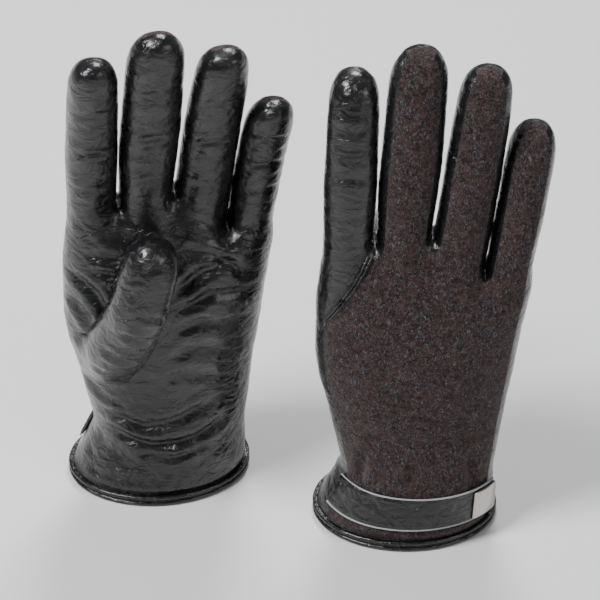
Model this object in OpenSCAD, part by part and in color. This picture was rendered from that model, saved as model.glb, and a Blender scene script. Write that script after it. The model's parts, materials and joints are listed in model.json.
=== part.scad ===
// A pair of dress gloves standing on their hems, fingers up.
// One glove is drawn for the right hand and mirrored for the left hand.
// Glove frame: x runs from the thumb side (-) to the little-finger side (+), the back of the
// hand faces -y, the palm faces +y, and z runs from the hem to the fingertips.

/* [Hand] */
// Width of the hand at its widest, over the leather
hand_w = 88; // [76:1:100]
// Thickness of the hand at its thickest, over the leather
hand_t = 43; // [36:1:50]
// Height of the knuckle line above the hem
knuckle_z = 138; // [128:1:150]
// Width of the wrist
wrist_w = 66; // [56:1:74]
// Thickness of the wrist
wrist_t = 47; // [40:1:54]
// Height of the wrist above the hem
wrist_z = 28; // [24:1:34]
// Sideways shift of the wrist toward the little finger
wrist_shift = 7; // [0:0.5:9]
// Thickness of the leather and cloth
wall = 1.2; // [0.8:0.1:1.6]
// Thickness of the lining
lining_t = 0.8; // [0.6:0.1:1.0]
// Room between the outer layer and the lining
lining_gap = 0.8; // [0.7:0.1:1.2]

/* [Fingers] */
// Length of the index finger above the knuckle line
index_len = 88; // [74:1:106]
// Length of the middle finger above the knuckle line
middle_len = 99; // [84:1:119]
// Length of the ring finger above the knuckle line
ring_len = 90; // [75:1:108]
// Length of the little finger above the knuckle line
little_len = 62; // [52:1:75]
// Depth of a finger at the knuckle line, from back to palm
finger_t = 25; // [21:0.5:28]
// How far each fingertip curves forward, toward the palm
finger_curl = 11; // [6:0.5:14]
// Gap left at each joint so that the pieces turn freely
joint_gap = 0.4; // [0.3:0.1:1]
// Gap between neighbouring fingers at the knuckle line
finger_gap = 1.1; // [0.9:0.1:1.6]

/* [Thumb] */
// Length of the thumb above its own joint
thumb_len = 38; // [32:1:42]
// Radius of the thumb at its joint
thumb_r = 12.6; // [11:0.2:13.4]

/* [Cuff] */
// Width of the cuff at the hem
cuff_w = 80; // [72:1:84]
// Thickness of the cuff at the hem
cuff_t = 62; // [54:1:66]
// Height of the hem binding
hem_h = 5; // [4:0.5:7]
// Height of the seam that joins the cuff to the hand
wrist_seam_z = 20; // [18:0.5:23]

/* [Strap] */
// Height of the strap's lower edge above the hem
strap_z = 12; // [10:0.5:13]
// Width of the strap
strap_h = 14; // [12:0.5:16]
// Thickness of the strap
strap_t = 1.6; // [1.2:0.1:2]
// Room under the strap for the press stud
strap_room = 1.8; // [1.6:0.1:2.4]
// Radius of the press stud's post
stud_r = 2; // [1.5:0.1:2.5]

/* [Pair] */
// Sideways distance between the two gloves
pair_x = 112; // [104:1:160]
// Distance from front to back between the two gloves
pair_y = 32; // [24:1:70]
// Turn of the left-hand glove about the vertical
left_turn = 8; // [0:1:12]

/* [Hidden] */
SIDES = ["left", "right"];
PIECES = [
    "hand_back", "hand_palm", "index_quarter", "hand_lining", "thumb_base", "cuff_back", "cuff_palm",
    "hem_binding", "seam_piping", "wrist_elastic", "stud_post",
    "wrist_strap", "strap_edging", "strap_plate", "stud_socket",
    "index_base", "index_tip",
    "middle_base_back", "middle_base_palm", "middle_tip_back", "middle_tip_palm",
    "ring_base_back", "ring_base_palm", "ring_tip_back", "ring_tip_palm",
    "little_base_back", "little_base_palm", "little_tip_back", "little_tip_palm",
    "thumb_tip"
];

leather = [0.03, 0.03, 0.035];
wool = [0.2, 0.13, 0.11];
knit = [0.25, 0.25, 0.27];
pale_edge = [0.45, 0.45, 0.47];
metal = [0.8, 0.8, 0.82];

// Half the width of each finger at the knuckle line and at the tip, and its sideways lean
index_a = [10.8, 9.8];
middle_a = [11.6, 10.6];
ring_a = [11.3, 10.2];
little_a = [10.4, 9];
index_lean = 0.03;
middle_lean = 0.07;
ring_lean = 0.13;
little_lean = 0.15;
tip_share = 0.86;       // depth of a finger at its tip as a share of its depth at the knuckle line

// Fingers stand side by side along the knuckle line, each placed from its neighbour
middle_x = -2;
index_x = middle_x - middle_a[0] - finger_gap - index_a[0];
ring_x = middle_x + middle_a[0] + finger_gap + ring_a[0];
little_x = ring_x + ring_a[0] + finger_gap + little_a[0];

// The knuckle line's outline reaches round all four fingers
knuckle_lo = index_x - index_a[0];
knuckle_hi = little_x + little_a[0];
knuckle_a = (knuckle_hi - knuckle_lo) / 2;
knuckle_x = (knuckle_hi + knuckle_lo) / 2;

// Heights above the hem with the outline's centre, half width and half thickness there
palm_z = (wrist_z + knuckle_z) / 2;
OUTLINE = [
    [0, 0, cuff_w / 2, cuff_t / 2],
    [wrist_z * 0.45, wrist_shift * 0.5, (cuff_w + wrist_w) / 4, (cuff_t + wrist_t) / 4],
    [wrist_z, wrist_shift, wrist_w / 2, wrist_t / 2],
    [palm_z - 25, wrist_shift * 0.85, hand_w * 0.43, hand_t * 0.49],
    [palm_z, knuckle_x * 0.5, hand_w * 0.49, hand_t / 2],
    [palm_z + 18, knuckle_x * 0.6, hand_w / 2, hand_t * 0.47],
    [knuckle_z - 12, knuckle_x * 0.9, knuckle_a, hand_t * 0.37],
    [knuckle_z, knuckle_x, knuckle_a, finger_t / 2 + 0.3]
];
function at_height(z, column) = lookup(z, [for (row = OUTLINE) [row[0], row[column]]]);

// The outline grows squarer toward the knuckle line, where four fingers stand side by side
function squareness(z) = lookup(z, [[palm_z, 1], [knuckle_z, 0.62]]);
function rounded(v, power) = sign(v) * pow(abs(v), power);

// A point on the hand or cuff, at height z and angle turn, with the surface moved out by off
function hand_point(z, off, turn) = [
    at_height(z, 1) + (at_height(z, 2) + off) * rounded(cos(turn), squareness(z)),
    (at_height(z, 3) + off) * rounded(sin(turn), squareness(z)),
    z
];

// A point on a finger: s is the height above the knuckle line, and past the start of the round
// tip it still runs up to the finger's full length
function finger_point(f, s, off, turn) =
    let (dome = f[1][1], straight = f[2] - dome, share = min(s, straight) / straight)
    let (rise = s > straight ? asin(min(1, (s - straight) / dome)) : 0)
    let (a = f[1][0] + (f[1][1] - f[1][0]) * share + off)
    let (b = finger_t / 2 * (1 - (1 - tip_share) * share) + off)
    [
        f[0] + f[3] * s + a * cos(rise) * cos(turn),
        b * cos(rise) * sin(turn) + finger_curl * pow(s / f[2], 2),
        knuckle_z + min(s, straight) + (dome + off) * sin(rise)
    ];

// Each finger's root, half widths, length and lean
function finger(name) =
    name == "index" ? [index_x, index_a, index_len, index_lean] :
    name == "middle" ? [middle_x, middle_a, middle_len, middle_lean] :
    name == "ring" ? [ring_x, ring_a, ring_len, ring_lean] :
    [little_x, little_a, little_len, little_lean];

// The thumb lies across the palm: its root, its joint and the start of its round tip
thumb_sink = 1.1;       // how far the thumb's underside lies below the palm's thickest line
thumb_root = [knuckle_lo + 14, hand_t * 0.2, palm_z - 19];
thumb_joint = [-9, hand_t / 2 - thumb_sink + thumb_r, palm_z + 28];
thumb_aim = [11.5, -1.5, 23] / norm([11.5, -1.5, 23]);
thumb_end = thumb_joint + thumb_aim * (thumb_len - thumb_r);
thumb_flare = 1.5;      // extra radius at the thumb's root

// A point on the thumb: s runs 0 to 1 from root to joint, 1 to 2 up to the round tip and 2 to 3 over it
low_aim = unit(thumb_joint - thumb_root);
joint_aim = unit(low_aim + thumb_aim);
above_joint = 1.001;    // the place just past the joint's gap, where the upper part starts
function thumb_point(s, off, turn) =
    let (low = min(s, 1), high = max(0, min(s, 2) - above_joint), rise = 90 * max(0, s - 2))
    let (lift = joint_gap / 2 * (s < 1 ? 0 : s == 1 ? -1 : 1))
    let (r = thumb_r + thumb_flare * (1 - low) - 0.8 * high + off)
    let (aim = s > above_joint ? thumb_aim : s < 1 ? low_aim : joint_aim)
    let (side = unit(cross([0, 1, 0], aim)), front = cross(aim, side))
    thumb_root + (thumb_joint - thumb_root) * low + (thumb_end - thumb_joint) * high + joint_aim * lift
        + aim * (r * sin(rise)) + (side * cos(turn) + front * sin(turn)) * (r * cos(rise));
function unit(v) = v / norm(v);

// Where round parts of the outline split between cloth and leather
back_from = 195;
back_to = 345;
glue = 0.15;            // room for glue or thread between two layers that are fixed together
hand_steps = 18;        // facets across half of the hand
finger_steps = 9;       // facets across half of a finger
diagonal_z = palm_z + 4;        // where the diagonal seam leaves the thumb side
diagonal_top = 245;             // where it meets the knuckle line
function diagonal(z) = lookup(z, [[diagonal_z, back_from + 4], [knuckle_z, diagonal_top]]);

// Heights of the rings that shape each stretch
hand_rings = [wrist_seam_z, wrist_z, wrist_z + 12, palm_z - 25, palm_z - 8, diagonal_z, palm_z + 20,
    knuckle_z - 12, knuckle_z];
upper_rings = [diagonal_z, palm_z + 20, knuckle_z - 12, knuckle_z];
cuff_rings = [hem_h, strap_z, wrist_seam_z];
dome_steps = [0, 0.4, 0.72, 0.92, 0.995];

on_hand = function(z, off, turn) hand_point(z, off, turn);
on_thumb = function(s, off, turn) thumb_point(s, off, turn);

// A shell between two offsets of a surface. Each station is [place, first turn, last turn].
// A loop closes on itself, and a capped shell is closed over its last station.
module shell(point, stations, low, high, steps, loop = false, capped = false) {
    rows = len(stations);
    cols = loop ? steps : steps + 1;
    inner = rows * cols;
    points = [
        for (off = [high, low], st = stations, k = [0 : cols - 1])
            point(st[0], off, st[1] + (st[2] - st[1]) * k / steps)
    ];
    function at(base, i, k) = base + i * cols + k % cols;
    spans = [0 : steps - 1];
    walls = [
        for (i = [0 : rows - 2], k = spans) each [
            [at(0, i, k), at(0, i + 1, k), at(0, i + 1, k + 1)],
            [at(0, i, k), at(0, i + 1, k + 1), at(0, i, k + 1)],
            [at(inner, i, k), at(inner, i + 1, k + 1), at(inner, i + 1, k)],
            [at(inner, i, k), at(inner, i, k + 1), at(inner, i + 1, k + 1)]
        ]
    ];
    foot = [
        for (k = spans) each [
            [at(0, 0, k), at(0, 0, k + 1), at(inner, 0, k + 1)],
            [at(0, 0, k), at(inner, 0, k + 1), at(inner, 0, k)]
        ]
    ];
    last = rows - 1;
    rim = capped ? [
        [for (k = [cols - 1 : -1 : 0]) at(0, last, k)],
        [for (k = [0 : cols - 1]) at(inner, last, k)]
    ] : [
        for (k = spans) each [
            [at(0, last, k), at(inner, last, k + 1), at(0, last, k + 1)],
            [at(0, last, k), at(inner, last, k), at(inner, last, k + 1)]
        ]
    ];
    sides = loop ? [] : [
        for (i = [0 : rows - 2]) each [
            [at(0, i, 0), at(inner, i, 0), at(inner, i + 1, 0)],
            [at(0, i, 0), at(inner, i + 1, 0), at(0, i + 1, 0)],
            [at(0, i, steps), at(inner, i + 1, steps), at(inner, i, steps)],
            [at(0, i, steps), at(0, i + 1, steps), at(inner, i + 1, steps)]
        ]
    ];
    bridge = capped && !loop
        ? [[at(0, last, 0), at(inner, last, 0), at(inner, last, steps), at(0, last, steps)]]
        : [];
    polyhedron(points, concat(walls, foot, rim, sides, bridge), convexity = 6);
}
function across(rings, from, to) = [for (z = rings) [z, from, to]];

// The hand -------------------------------------------------------------------------------------
module hand_back() {
    color(wool)
    shell(on_hand, [for (z = hand_rings) [z, diagonal(z) - (z < diagonal_z ? 4 : 0), back_to]],
        0, wall, hand_steps);
}
module index_quarter() {
    color(leather)
    shell(on_hand, [for (z = upper_rings) [z, back_from, diagonal(z)]], 0, wall, finger_steps);
}
module hand_palm() {
    color(leather)
    difference() {
        shell(on_hand, across(hand_rings, back_to - 360, back_from), 0, wall, hand_steps);
        thumb_core(-wall);
    }
}
module hand_lining() {
    color(knit)
    difference() {
        shell(on_hand, across(concat([hem_h, strap_z], hand_rings), 0, 360), -lining_gap - lining_t,
            -lining_gap, 2 * hand_steps, loop = true);
        thumb_core(0.1);
    }
}
module seam_piping() {
    color(leather)
    shell(on_hand, [for (z = upper_rings) [z, diagonal(z) - 1.2, diagonal(z) + 1.2]],
        wall + glue, wall + 0.9, 2);
}
module wrist_elastic() {
    elastic_rings = [wrist_z + 2, wrist_z + 10];
    color(knit)
    shell(on_hand, across(elastic_rings, 20, 160), -lining_gap * 0.85, -lining_gap * 0.45, hand_steps);
}

// The thumb ------------------------------------------------------------------------------------
// The thumb's own solid shape below its joint, moved out by off, used to open the palm for it
module thumb_core(off) {
    cols = 2 * finger_steps;
    shape = [for (s = [-0.15, 1], k = [0 : cols - 1]) thumb_point(s, off, 360 * k / cols)];
    polyhedron(shape, concat(
        [[for (k = [0 : cols - 1]) k]],
        [[for (k = [cols - 1 : -1 : 0]) cols + k]],
        [for (k = [0 : cols - 1]) each [
            [k, cols + k, cols + (k + 1) % cols],
            [k, cols + (k + 1) % cols, (k + 1) % cols]
        ]]
    ));
}
// Everything inside the outer face of the hand, used to fit the thumb to it
module hand_core() {
    core_rings = [for (z = hand_rings) if (z > wrist_z) z];
    cols = 2 * hand_steps;
    rows = len(core_rings);
    points = [for (z = core_rings, k = [0 : cols - 1]) hand_point(z, wall, hand_turn(k))];
    polyhedron(points, concat(
        [[for (k = [0 : cols - 1]) k]],
        [[for (k = [cols - 1 : -1 : 0]) (rows - 1) * cols + k]],
        [for (i = [0 : rows - 2], k = [0 : cols - 1]) each [
            [i * cols + k, (i + 1) * cols + k, (i + 1) * cols + (k + 1) % cols],
            [i * cols + k, (i + 1) * cols + (k + 1) % cols, i * cols + (k + 1) % cols]
        ]]
    ));
}
// The turns of the palm's facets, then of the back's, so that the core's faces match theirs
function hand_turn(k) = k < hand_steps
    ? back_to - 360 + (back_from - back_to + 360) * k / hand_steps
    : back_from + (back_to - back_from) * (k - hand_steps) / hand_steps;
module thumb_base() {
    color(leather)
    difference() {
        shell(on_thumb, across([0, 1], 0, 360), -wall, 0, 2 * finger_steps, loop = true);
        hand_core();
    }
}
module thumb_tip() {
    color(leather)
    shell(on_thumb, across([above_joint, 2, for (d = dome_steps) if (d > 0) 2 + asin(d) / 90], 0, 360),
        -wall, 0, 2 * finger_steps, loop = true, capped = true);
}

// Fingers --------------------------------------------------------------------------------------
function base_rings(f) = [joint_gap, f[2] * 0.25, f[2] / 2 - joint_gap / 2];
function tip_rings(f) = concat(
    [f[2] / 2 + joint_gap / 2],
    [for (d = dome_steps) f[2] - f[1][1] + f[1][1] * d]
);
module finger_part(name, rings, from, to, steps, loop, capped) {
    f = finger(name);
    shell(function(s, off, turn) finger_point(f, s, off, turn), across(rings, from, to),
        -wall, 0, steps, loop, capped);
}
module finger_base(name, kind) {
    rings = base_rings(finger(name));
    if (kind == "whole") color(leather) finger_part(name, rings, 0, 360, 2 * finger_steps, true, false);
    if (kind == "back") color(wool) finger_part(name, rings, back_from, back_to, finger_steps, false, false);
    if (kind == "palm") color(leather)
        finger_part(name, rings, back_to - 360, back_from, finger_steps, false, false);
}
module finger_tip(name, kind) {
    rings = tip_rings(finger(name));
    if (kind == "whole") color(leather) finger_part(name, rings, 0, 360, 2 * finger_steps, true, true);
    if (kind == "back") color(wool) finger_part(name, rings, back_from, back_to, finger_steps, false, true);
    if (kind == "palm") color(leather)
        finger_part(name, rings, back_to - 360, back_from, finger_steps, false, true);
}

// The cuff -------------------------------------------------------------------------------------
module cuff_back() {
    color(wool)
    shell(on_hand, across(cuff_rings, back_from, back_to), 0, wall, hand_steps);
}
module cuff_palm() {
    color(leather)
    shell(on_hand, across(cuff_rings, back_to - 360, back_from), 0, wall, hand_steps);
}
module hem_binding() {
    color(leather)
    shell(on_hand, across([0, hem_h], 0, 360), -lining_gap - lining_t, wall + 0.5,
        2 * hand_steps, loop = true);
}

// The strap ------------------------------------------------------------------------------------
strap_from = 200;
strap_to = 335;
plate_facets = 3;       // the metal plate covers the strap's last facets
plate_t = 1.3;
plate_from = strap_to - plate_facets * (strap_to - strap_from) / hand_steps;
plate_turn = (plate_from + strap_to) / 2;       // the press stud sits under the middle of the plate
strap_low = wall + strap_room;
strap_high = strap_low + strap_t;
strap_mid = strap_z + strap_h / 2;
deep = 9;               // far enough to cut right through the press stud
strap_rings = [strap_z, strap_mid, strap_z + strap_h];
edge_t = 0.9;
module strap_band(rings, low, high, from = strap_from, steps = hand_steps) {
    shell(on_hand, across(rings, from, strap_to), low, high, steps);
}
module wrist_strap() {
    color(leather)
    strap_band(strap_rings, strap_low, strap_high);
}
module strap_edging() {
    color(pale_edge)
    for (z = [strap_z - edge_t, strap_z + strap_h])
        strap_band([z, z + edge_t], strap_low + 0.2, strap_high - 0.2);
}
module strap_plate() {
    color(metal)
    strap_band(strap_rings, strap_high, strap_high + plate_t, plate_from, plate_facets);
}

// The press stud's place on the cuff and the way its axis points
stud_at = hand_point(strap_mid, wall, plate_turn);
stud_way = atan2(stud_at[1] / pow(at_height(strap_mid, 3), 2), stud_at[0] / pow(at_height(strap_mid, 2), 2));
stud_play = 1.4;        // radial room in the socket, so that the strap can swing off the post
module on_stud(out) {
    translate(stud_at) rotate([0, 0, stud_way]) rotate([0, 90, 0]) translate([0, 0, out]) children();
}
module stud_post() {
    color(metal)
    difference() {
        on_stud(-1) union() {
            cylinder(h = 1.5, r = stud_r + 2.2, $fn = 32);
            cylinder(h = 1.4 + strap_room * 0.5, r = stud_r, $fn = 32);
        }
        cuff_core(glue / 2);
    }
}
// Everything inside the cuff's outer face and the glove just above it, with that face moved out by grow
module cuff_core(grow) {
    shell(on_hand, across(concat(cuff_rings, [wrist_z]), back_from, back_to), -deep, wall + grow, hand_steps);
}
module stud_socket() {
    socket_foot = strap_room * 0.42;
    color(metal)
    difference() {
        on_stud(socket_foot) cylinder(h = strap_room, r = stud_r + stud_play + 1.3, $fn = 32);
        on_stud(-1) cylinder(h = 1.6 + strap_room * 0.5, r = stud_r + stud_play, $fn = 32);
        cuff_core(strap_room * 0.25);
        strap_band(strap_rings, strap_low - glue / 2, strap_low + deep);
    }
}

// The pair -------------------------------------------------------------------------------------
// Points round the widest places of one glove, used to centre the pair over the origin
turns = [for (k = [0 : 4 * hand_steps - 1]) 90 * k / hand_steps];
rim_points = concat(
    [for (k = [0 : 2 * hand_steps - 1]) hand_point(0, wall + 0.5, 180 * k / hand_steps)],
    [for (z = hand_rings, k = [0 : hand_steps]) each [
        hand_point(z, wall, back_to - 360 + (back_from - back_to + 360) * k / hand_steps),
        hand_point(z, wall, back_from + (back_to - back_from) * k / hand_steps)
    ]],
    [for (z = strap_rings, k = [0 : plate_facets])
        hand_point(z, strap_high + plate_t, plate_from + (strap_to - plate_from) * k / plate_facets)],
    [for (name = ["index", "middle", "ring", "little"])
        let (f = finger(name))
        for (s = concat(base_rings(f), tip_rings(f)), turn = turns) finger_point(f, s, 0, turn)],
    [for (s = [above_joint, 2, for (d = dome_steps) if (d > 0) 2 + asin(d) / 90], turn = turns)
        thumb_point(s, 0, turn)]
);
function turned(p) = [
    -p[0] * cos(180 + left_turn) - p[1] * sin(180 + left_turn),
    -p[0] * sin(180 + left_turn) + p[1] * cos(180 + left_turn)
];
reach = [for (axis = [0, 1])
    let (shift = [pair_x / 2, -pair_y / 2][axis])
    let (all = concat([for (p = rim_points) p[axis] + shift], [for (p = rim_points) turned(p)[axis] - shift]))
    (max(all) + min(all)) / 2
];
module on_side(side) {
    if (side == "right") translate([pair_x / 2 - reach[0], -pair_y / 2 - reach[1], 0]) children();
    if (side == "left") translate([-pair_x / 2 - reach[0], pair_y / 2 - reach[1], 0])
        rotate([0, 0, 180 + left_turn]) mirror([1, 0, 0]) children();
}
module piece(name) {
    if (name == "hand_back") hand_back();
    if (name == "hand_palm") hand_palm();
    if (name == "index_quarter") index_quarter();
    if (name == "hand_lining") hand_lining();
    if (name == "thumb_base") thumb_base();
    if (name == "cuff_back") cuff_back();
    if (name == "cuff_palm") cuff_palm();
    if (name == "hem_binding") hem_binding();
    if (name == "seam_piping") seam_piping();
    if (name == "wrist_elastic") wrist_elastic();
    if (name == "stud_post") stud_post();
    if (name == "wrist_strap") wrist_strap();
    if (name == "strap_edging") strap_edging();
    if (name == "strap_plate") strap_plate();
    if (name == "stud_socket") stud_socket();
    if (name == "index_base") finger_base("index", "whole");
    if (name == "index_tip") finger_tip("index", "whole");
    if (name == "thumb_tip") thumb_tip();
    for (f = ["middle", "ring", "little"], kind = ["back", "palm"]) {
        if (name == str(f, "_base_", kind)) finger_base(f, kind);
        if (name == str(f, "_tip_", kind)) finger_tip(f, kind);
    }
}

for (side = SIDES, name = PIECES)
    on_side(side) piece(name);
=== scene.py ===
import json
import math
import bmesh
import bpy
import numpy as np
from mathutils import Matrix, Vector, noise


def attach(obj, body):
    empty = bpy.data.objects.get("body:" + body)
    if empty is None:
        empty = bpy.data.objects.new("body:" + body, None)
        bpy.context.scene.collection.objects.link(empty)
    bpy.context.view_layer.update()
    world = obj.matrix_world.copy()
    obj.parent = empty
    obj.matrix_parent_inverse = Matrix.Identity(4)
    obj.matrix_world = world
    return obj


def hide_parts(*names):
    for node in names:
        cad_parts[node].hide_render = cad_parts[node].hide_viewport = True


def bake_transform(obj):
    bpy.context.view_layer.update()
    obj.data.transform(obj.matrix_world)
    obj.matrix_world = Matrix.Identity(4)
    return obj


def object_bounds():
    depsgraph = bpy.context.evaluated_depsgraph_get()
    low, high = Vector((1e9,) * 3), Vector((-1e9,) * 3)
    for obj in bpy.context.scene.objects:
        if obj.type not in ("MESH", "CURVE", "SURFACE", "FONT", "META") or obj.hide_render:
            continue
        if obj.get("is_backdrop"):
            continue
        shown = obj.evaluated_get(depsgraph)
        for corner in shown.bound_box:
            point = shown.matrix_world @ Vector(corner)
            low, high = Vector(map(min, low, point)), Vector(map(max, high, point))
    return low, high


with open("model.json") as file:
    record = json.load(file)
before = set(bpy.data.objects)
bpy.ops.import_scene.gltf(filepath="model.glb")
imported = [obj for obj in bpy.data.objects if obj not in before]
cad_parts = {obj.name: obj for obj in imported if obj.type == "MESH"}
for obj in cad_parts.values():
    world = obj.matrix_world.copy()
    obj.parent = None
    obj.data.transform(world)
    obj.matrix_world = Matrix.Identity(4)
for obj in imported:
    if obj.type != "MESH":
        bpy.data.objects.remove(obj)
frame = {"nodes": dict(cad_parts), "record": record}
MM = 0.001
cad_box = [list(corner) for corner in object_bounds()]

# %% [markdown]
# # Dress gloves
# One glove is made for the right hand about the middle of its own hem, with the thumb side at -x,
# the back of the hand at -y and the palm at +y. Each finished piece is then placed for the right
# hand, and mirrored and turned for the left hand, so both gloves share one pattern as a real pair does.

# %% Where each glove stands
JOINTS = {j["name"]: j for j in frame["record"]["behaviour"]["joints"]}
MOUNTS = {m["name"]: Vector(m["pos_m"]) for m in frame["record"]["mounts"]}
SIDES = ("right", "left")
FINGERS = ("index", "middle", "ring", "little")
right_middle = MOUNTS["right_hand_opening"]
left_middle = MOUNTS["left_hand_opening"]
left_axis = JOINTS["left_index_knuckle"]["axis"]
left_turn = math.atan2(-left_axis[1], -left_axis[0])
PLACE = {
    "right": Matrix.Translation(right_middle),
    "left": Matrix.Translation(left_middle) @ Matrix.Rotation(left_turn, 4, "Z")
            @ Matrix.Scale(-1, 4, (1, 0, 0)),
}
print("left glove turned", round(math.degrees(left_turn)), "degrees")


def local(point):
    """A point of the right glove, seen from the middle of its hem."""
    return Vector(point) - right_middle


def node_points(name):
    """The right glove's CAD piece as points about the middle of its hem."""
    return np.array([local(v.co) for v in frame["nodes"]["right_" + name].data.vertices])


# %% [markdown]
# ## The hand's outline
# The CAD shells give the outline at each height: its middle, half width and half thickness. The
# outline is read between those heights by straight steps, and the mesh's own smoothing rounds it.

# %% Outline read from the CAD shells
SAME_HEIGHT = 0.2 * MM      # points this close in height belong to one ring
FULL_RING = 40              # a ring with fewer points than this is part of a seam and is left out
shell = np.vstack([node_points(n) for n in ("cuff_back", "cuff_palm", "hand_back", "hand_palm")])
heights = np.unique(np.round(shell[:, 2], 4))
rows = []
for z in heights:
    ring = shell[np.abs(shell[:, 2] - z) < SAME_HEIGHT]
    if len(ring) > FULL_RING:
        rows.append([z, *ring[:, :2].min(0), *ring[:, :2].max(0)])
rows = np.array(rows)
knuckle_z = float(rows[-1, 0])
hem_top = float(rows[0, 0])
hem_top_z = float(node_points("hem_binding")[:, 2].max())


def outline(z):
    """Middle x, half width and half thickness of the glove at height z."""
    west, south, east, north = (np.interp(z, rows[:, 0], rows[:, k]) for k in range(1, 5))
    return (west + east) / 2, (east - west) / 2, (north - south) / 2


print("outline from", round(hem_top, 4), "to", knuckle_z, "at", len(rows), "heights")

# %% [markdown]
# ## Finger places
# Each finger's root, middle joint and tip come from its two hinges and its CAD box. A real leather
# finger is a little fuller halfway up than at its root, where its neighbours leave no room.

# %% The four fingers, measured
# Half the finger's width where it is fullest
FULL_HALF = {"index": 11.6 * MM, "middle": 13.3 * MM, "ring": 12.4 * MM, "little": 11.0 * MM}
finger = {}
for name in FINGERS:
    knuckle = local(JOINTS[f"right_{name}_knuckle"]["pos_m"])
    middle = local(JOINTS[f"right_{name}_middle_joint"]["pos_m"])
    base = node_points(name + "_base" if name == "index" else name + "_base_palm")
    tip = node_points(name + "_tip" if name == "index" else name + "_tip_palm")
    root = base[base[:, 2] < base[:, 2].min() + 1e-4]
    top = float(tip[:, 2].max())
    finger[name] = {
        "x": knuckle.x,
        "mid_z": middle.z,
        "top_z": top,
        "lean": (middle.x - knuckle.x) / (middle.z - knuckle.z),
        "half_w": float(np.ptp(root[:, 0])) / 2,
        "half_t": float(root[:, 1].max()),
        "curl": float(tip[tip[:, 2] > top - 5e-4][:, 1].mean()),
    }
    print(name, {k: round(v, 4) for k, v in finger[name].items()})

# %% [markdown]
# ## The glove's cage
# A glove is one skin, so it is modelled as one: a coarse cage of quads that subdivision rounds. The
# cage starts as a grid along the knuckle line, two quads wide for each finger with a narrow quad
# between neighbours. Each finger is extruded up from its own quads, the hand and cuff are extruded
# down from the rim, and the thumb is extruded out of the palm. The grid's lines stand at different
# heights, because the gaps between the fingers do: the one beside the little finger is the lowest.

# %% The cage's own values
LINES_PER_FINGER = 3
CORNER = 0.74            # how far an octagon's slanted corners stand out, as a share of its radius
SWELL = 1.09             # subdivision draws a cage inward, so the cage is made this much larger
SKIN = 0.6 * MM          # the skin lies this far outside the CAD shell's own face
WEB_RISE = (2, 8, 10, 10, 12, 14, 14, 7, -5, -5, -4, -4)    # mm above the knuckle line, line by line
WOOL_BACK = {1: False, 2: True, 3: True, 4: True}           # the index finger is all leather
FULL_AT = 45 * MM        # a finger is fullest this far above the knuckle line
TIP_NARROWER = 0.07      # how much narrower a finger is at its tip
TIP_THINNER = 0.14       # how much thinner it is there
LINE_SHARE = 0.93        # the cage's outer lines stay this far short of the hand's edge
EDGE_OUT = 1.02          # the hand's rings are this much wider than the outline, against the smoothing
FACE_OUT = 1.05          # and this much thicker


def smooth(t):
    """An eased step from 0 to 1."""
    t = np.clip(t, 0, 1)
    return t * t * (3 - 2 * t)


def mean_rise(name):
    """How high a finger's first ring stands above the knuckle line."""
    first = FINGERS.index(name) * LINES_PER_FINGER
    return sum(WEB_RISE[first:first + LINES_PER_FINGER]) / LINES_PER_FINGER * MM


def finger_ring(name, s, size=1.0, u=0, v=0):
    """The place of one cage point round a finger, s above the knuckle line."""
    f = finger[name]
    length = f["top_z"] - knuckle_z
    t = float(np.clip((s - mean_rise(name)) / (length - mean_rise(name)), 0, 1))
    own_rise = WEB_RISE[FINGERS.index(name) * LINES_PER_FINGER + u + 1] * MM
    half_w = f["half_w"] + (FULL_HALF[name] - f["half_w"]) * float(smooth(s / FULL_AT))
    half_w *= 1 - TIP_NARROWER * t ** 2
    corner = CORNER if u and v else 1
    forward = f["curl"] * (max(s, 0) / length) ** 2
    return Vector((
        f["x"] + f["lean"] * s + u * corner * half_w * SWELL * size,
        forward + v * corner * f["half_t"] * SWELL * (1 - TIP_THINNER * t) * size,
        knuckle_z + s + (own_rise - mean_rise(name)) * (1 - t) ** 3,
    ))


def hand_ring(z, line, row, square):
    """The place of one cage point round the hand at height z."""
    cx, half_w, half_t = outline(z)
    top_cx, top_w, _ = outline(knuckle_z)
    f = finger[FINGERS[line // LINES_PER_FINGER]]
    x = f["x"] + (line % LINES_PER_FINGER - 1) * f["half_w"]
    share = (x - top_cx) / top_w * LINE_SHARE
    if row == 1:
        return Vector((cx + math.copysign(half_w + SKIN, share) * EDGE_OUT, 0, z))
    depth = (1 - min(1, abs(share)) ** square) ** (1 / square)
    return Vector((cx + share * half_w * EDGE_OUT, (row - 1) * depth * (half_t + SKIN) * FACE_OUT, z))


print("rise of each finger's first ring, mm", {n: round(mean_rise(n) / MM, 1) for n in FINGERS})

# %% [markdown]
# Every finger is a stack of extruded caps: a block of quads is pushed up ring by ring, and each new
# ring is put where `finger_ring` says. Each corner of the cage carries its line, its row (0 on the
# back, 1 at the side, 2 on the palm) and its level, so it can be found again after an extrusion.
# A fingertip's last cap is small and its middle point is lifted, because a flat cap would leave the
# fingertip blunt once it is smoothed.

# %% Extruding a finger
TIP_LIFT = 0.22          # how far a fingertip's middle point is lifted, as a share of its half width
# Rings between the dome's start and the top: how far below the top, in half widths, and how wide
DOME_RINGS = ((1, 1), (0.4, 0.88), (0.02, 0.55))


def extrude_cap(bm, faces, place, mark):
    """Extrudes a block of faces and puts each new vertex where place(u, v) says."""
    out = bmesh.ops.extrude_face_region(bm, geom=faces)
    left_over = [f for f in faces if f.is_valid]
    if left_over:
        bmesh.ops.delete(bm, geom=left_over, context="FACES")
    new = [g for g in out["geom"] if isinstance(g, bmesh.types.BMFace)]
    for v in {v for f in new for v in f.verts}:
        v.co = place(v[mark["line"]], v[mark["row"]])
    return new


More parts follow.
